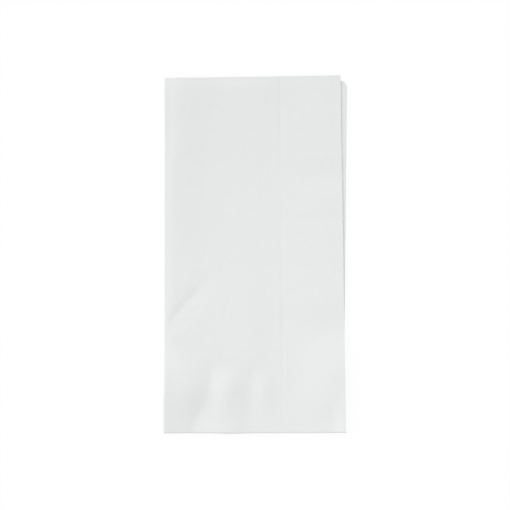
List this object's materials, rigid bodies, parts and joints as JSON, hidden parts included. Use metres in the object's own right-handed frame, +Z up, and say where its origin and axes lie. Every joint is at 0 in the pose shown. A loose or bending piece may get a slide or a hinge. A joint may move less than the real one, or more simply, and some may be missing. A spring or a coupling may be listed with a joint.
{
  "type": "paper dinner napkin",
  "caption": "Square sheet of white tissue paper folded lengthwise twice and once across into a flat oblong pile.",
  "frame": {"origin": "centre of the folded pile's footprint, on the surface that it lies on", "axes": "+Y along the pile from the cross fold to the open end, +X from the second fold to the raw edges, +Z up out of the top panel"},
  "size_m": [0.1046, 0.2046, 0.0047],
  "materials": {
    "tissue": "matte white creped tissue"
  },
  "bodies": {
    "root": {"napkin": "tissue"}
  },
  "joints": []
}
